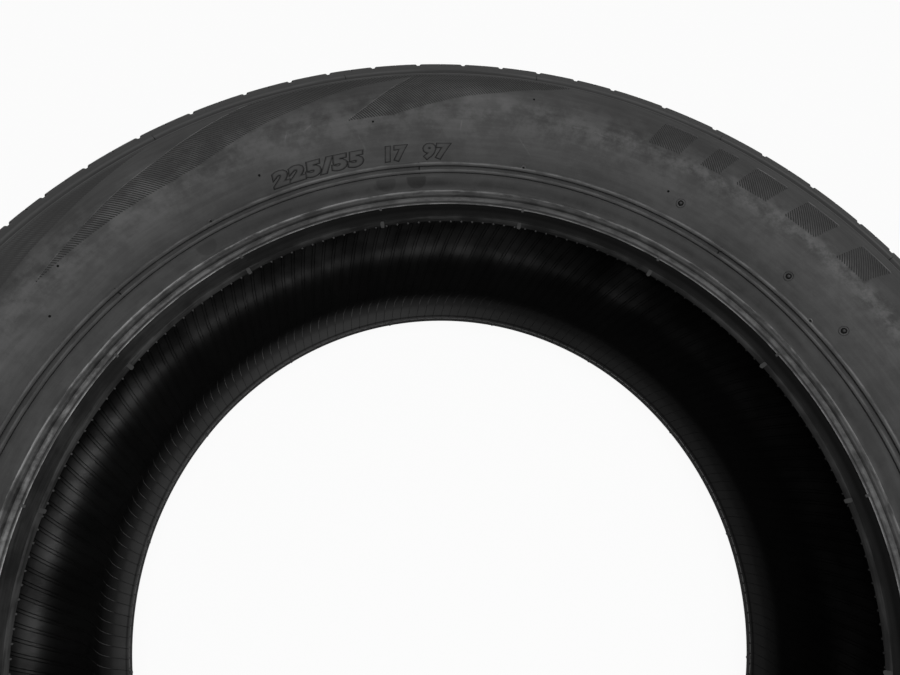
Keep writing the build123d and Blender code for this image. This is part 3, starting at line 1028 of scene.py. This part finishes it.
def floor_finish():
    """Pale floor that reads white straight on, in gloss and through glass, and keeps the part's shadow."""
    finish = Finish(bpy.data.materials.new("floor"))
    matt = finish.node("ShaderNodeBsdfDiffuse", None, {0: (0.62, 0.62, 0.62, 1)})
    white = finish.node("ShaderNodeEmission", None, {0: (1, 1, 1, 1), 1: 1.0})
    mixed = finish.node("ShaderNodeMixShader", None, {0: seen_ray(finish) * 0.95, 1: matt, 2: white})
    finish.node("ShaderNodeOutputMaterial", None, {0: mixed})
    return finish.data


# Floor
FLOOR_REACH = 6.0
FLOOR_GAP = 0.0005


def add_floor():
    """Flat floor under the lower sidewall."""
    corners = np.array([[-1, -1, 0], [1, -1, 0], [1, 1, 0], [-1, 1, 0]]) * FLOOR_REACH
    corners[:, 2] = -HALF_WIDTH - FLOOR_GAP
    mesh = bpy.data.meshes.new("floor")
    mesh.from_pydata(corners, [], [[0, 1, 2, 3]])
    mesh.materials.append(floor_finish())
    floor = add_object("floor", mesh)


def softbox(name, place, target, size, power):
    """Square area light that faces a target."""
    lamp = bpy.data.lights.new(name, "AREA")
    lamp.shape = "SQUARE"
    lamp.size = size
    lamp.energy = power
    light = add_object(name, lamp)
    light.location = place
    light.rotation_mode = "QUATERNION"
    light.rotation_quaternion = (Vector(target) - Vector(place)).to_track_quat("-Z", "Y")


def add_world(strength):
    """Even soft light from all round, white where it is seen."""
    world = Finish(bpy.data.worlds.new("studio"))
    soft = world.node("ShaderNodeBackground", None, {0: (1, 1, 1, 1), 1: strength})
    white = world.node("ShaderNodeBackground", None, {0: (1, 1, 1, 1), 1: 1.0})
    mixed = world.node("ShaderNodeMixShader", None, {0: seen_ray(world), 1: soft, 2: white})
    world.node("ShaderNodeOutputWorld", None, {0: mixed})
    bpy.context.scene.world = world.data


# Camera over the opening, fitted to the rings of the tyre in the photograph
PHOTO_WIDTH = 900
FOCAL_PIXELS = 695.3
SENSOR = 36.0
CAMERA_PLACE = (-0.02324, -0.01238, 0.44915)
CAMERA_PITCH = -0.3835
CAMERA_YAW = 0.0526


def add_camera():
    """Camera whose frame is the photograph's: yaw after pitch turns the part's axes into the camera's."""
    data = bpy.data.cameras.new("camera")
    data.sensor_width = SENSOR
    data.lens = FOCAL_PIXELS * SENSOR / PHOTO_WIDTH
    data.clip_start = 0.01
    camera = add_object("camera", data)
    turn = Matrix.Rotation(CAMERA_YAW, 3, "Y") @ Matrix.Rotation(CAMERA_PITCH, 3, "X")
    camera.matrix_world = Matrix.Translation(CAMERA_PLACE) @ turn.transposed().to_4x4()
    bpy.context.scene.camera = camera


# Marks on each sidewall, as angles in degrees and radii
PLATES = [(39.2, 58.7), (14.0, 32.7)]
PLATE_HALF_WIDTH = 0.0068
BOSSES = [57.6, 40.8, 31.3]
MARK_RADIUS = 0.2512
VENTS = [(147.1, 0.2538), (142.1, 0.2682), (116.3, 0.2534), (100.2, 0.267), (79.8, 0.2852), (59.8, 0.2537)]
VENT_STUBS = [(104.5, 0.2995), (102.6, 0.2937)]
RIM_VENTS = 34.75 + 45.0 * np.arange(8)
RIM_VENT_RADIUS = RIM_RIBS[0] + 0.0006
SHOULDER_TICKS = 12.25 + 22.5 * np.arange(16)
RIM_TICKS = 4.7 + 45.0 * np.arange(8)
TABS = 11.25 + 22.5 * np.arange(16)
TOE_SLOPE = np.array([-0.591, -0.807])
TOE_NUB_PLACE = TOE + [0.0002, 0.0002]
TAB_PLACE = TOE + [0.0009, 0.0013]

# Rings and lines: radius where round, then width and height
BOSS_RING_RADIUS = 0.0026
BOSS_RING = (0.0010, 0.0004)
RIM_RING_RADIUS = 0.0013
RIM_RING = (0.0010, 0.0013)
PLATE_LINE = (0.0018, 0.00012)

# Ticks: bottom and top radius, width and height
SHOULDER_TICK = (0.3072, 0.3160, 0.0011, SINK + 0.0004)
RIM_TICK = (0.2384, 0.2437, 0.0009, 0.0013)

# Studs: half width, half length and height, and profiles as shares of the half sizes and of the height
BOSS_SHADOW = (0.0017, 0.0017, 0.0004)
BOSS_NUB = (0.0009, 0.0009, 0.0010)
VENT = (0.0007, 0.0007, 0.0003)
RIM_VENT = (0.0008, 0.0008, 0.0010)
TOE_NUB = (0.00055, 0.0006, 0.0006)
TOE_TAB = (0.0012, 0.0021, 0.0008)
HEEL_TICK = (0.0008, 0.0013, 0.0008)
DOME = [(1.0, -0.6), (1.0, 0.2), (0.8, 0.75), (0.4, 1.0)]
BLOCK = [(1.0, -0.6), (1.0, 0.6), (0.75, 1.0)]


def add_marks(where, side, rubber, hatch, bead, dust, nub, painted_pit_shade):
    """What is moulded on one sidewall and its bead: marks that repeat half a turn on, then rows all round."""
    hatching("hatching_" + where, side, hatch)
    sweep_edges("sweep_edges_" + where, side, rubber)
    numerals("numerals_" + where, side, rubber)
    strips = [obround(radians(start + half), radians(end + half), MARK_RADIUS, PLATE_HALF_WIDTH)
              for half in HALVES for start, end in PLATES]
    ring_on_wall("plates_" + where, strips, *PLATE_LINE, side, rubber)
    boss_turns = np.radians((np.array(BOSSES) + HALVES[:, None]).ravel())
    rings = [circle(turn, MARK_RADIUS, BOSS_RING_RADIUS) for turn in boss_turns]
    ring_on_wall("boss_rings_" + where, rings, *BOSS_RING, side, rubber)
    places, axes = wall_axes(boss_turns, np.full(len(boss_turns), MARK_RADIUS), side)
    # A dark disc under each boss's nub, painted shadow round the nub.
    studs("boss_shadows_" + where, places, axes, BOSS_SHADOW, DOME, bead)
    studs("boss_nubs_" + where, places, axes, BOSS_NUB, DOME, dust)
    # Vents are near-black studs, painted shade for their pits.
    for kind, spots, finish in (("vents_", VENTS, painted_pit_shade), ("vent_stubs_", VENT_STUBS, dust)):
        turns, radii = np.transpose(spots)
        spot_turns = np.radians((turns + HALVES[:, None]).ravel())
        places, axes = wall_axes(spot_turns, np.tile(radii, len(HALVES)), side)
        studs(kind + where, places, axes, VENT, DOME, finish)
    rim_turns = np.radians(RIM_VENTS)
    rings = [circle(turn, RIM_VENT_RADIUS, RIM_RING_RADIUS, 14) for turn in rim_turns]
    # The rim vents' rings are paler on top, for scuffing and a painted highlight.
    ring_on_wall("rim_vent_rings_" + where, rings, *RIM_RING, side, rubber, worn_and_lit=1.5)
    places, axes = wall_axes(rim_turns, np.full(len(rim_turns), RIM_VENT_RADIUS), side)
    # Rim vents and ticks are near-black, painted shade for their pits and slits.
    studs("rim_vents_" + where, places, axes, RIM_VENT, DOME, painted_pit_shade)
    wall_bars("shoulder_ticks_" + where, SHOULDER_TICKS, *SHOULDER_TICK, side, painted_pit_shade)
    wall_bars("rim_ticks_" + where, RIM_TICKS, *RIM_TICK, side, painted_pit_shade)
    nub_turns = np.arange(LINER_LINES) * 2 * np.pi / LINER_LINES
    places, axes = toe_axes(nub_turns, TOE_NUB_PLACE, TOE_SLOPE, side)
    studs("toe_nubs_" + where, places, axes, TOE_NUB, DOME, nub, 8)
    places, axes = toe_axes(np.radians(TABS), TAB_PLACE, TOE_SLOPE, side)
    studs("toe_tabs_" + where, places, axes, TOE_TAB, BLOCK, dust, 12, 0.5)
    heel_out = np.array([cos(radians(HEEL_LINE_TURN)), sin(radians(HEEL_LINE_TURN))])
    heel_place = HEEL + HEEL_RADIUS * (np.array([1.0, -1.0]) + heel_out)
    places, axes = toe_axes(np.radians(TABS), heel_place, np.array([-heel_out[1], heel_out[0]]), side)
    studs("heel_ticks_" + where, places, axes, HEEL_TICK, BLOCK, dust, 12, 0.5)


rubber, hatch, bead = sidewall_rubber(), hatch_rubber(), bead_rubber()
dust = plain_rubber("toe_rubber", 0.05, 0.7)
nub = plain_rubber("nub_rubber", 0.05, 0.7, fade=0.75)
# Near-black for vents and ticks: painted shade where pits and slits are dark.
painted_pit_shade = plain_rubber("vent_pit_shade", 0.004, 0.8)
for where, side in (("upper", 1), ("lower", -1)):
    sidewall("sidewall_" + where, side, rubber, bead)
    add_marks(where, side, rubber, hatch, bead, dust, nub, painted_pit_shade)
liner(liner_rubber())
tread_band(tread_rubber())

add_floor()
add_world(strength=0.13)
softbox("top", place=(0.05, -0.1, 1.0), target=(0, 0.05, 0), size=0.5, power=8)
softbox("fill", place=(-0.3, 1.6, 1.3), target=(0, 0, 0), size=1.4, power=3)
add_camera()

bpy.context.scene.view_settings.view_transform = "Standard"
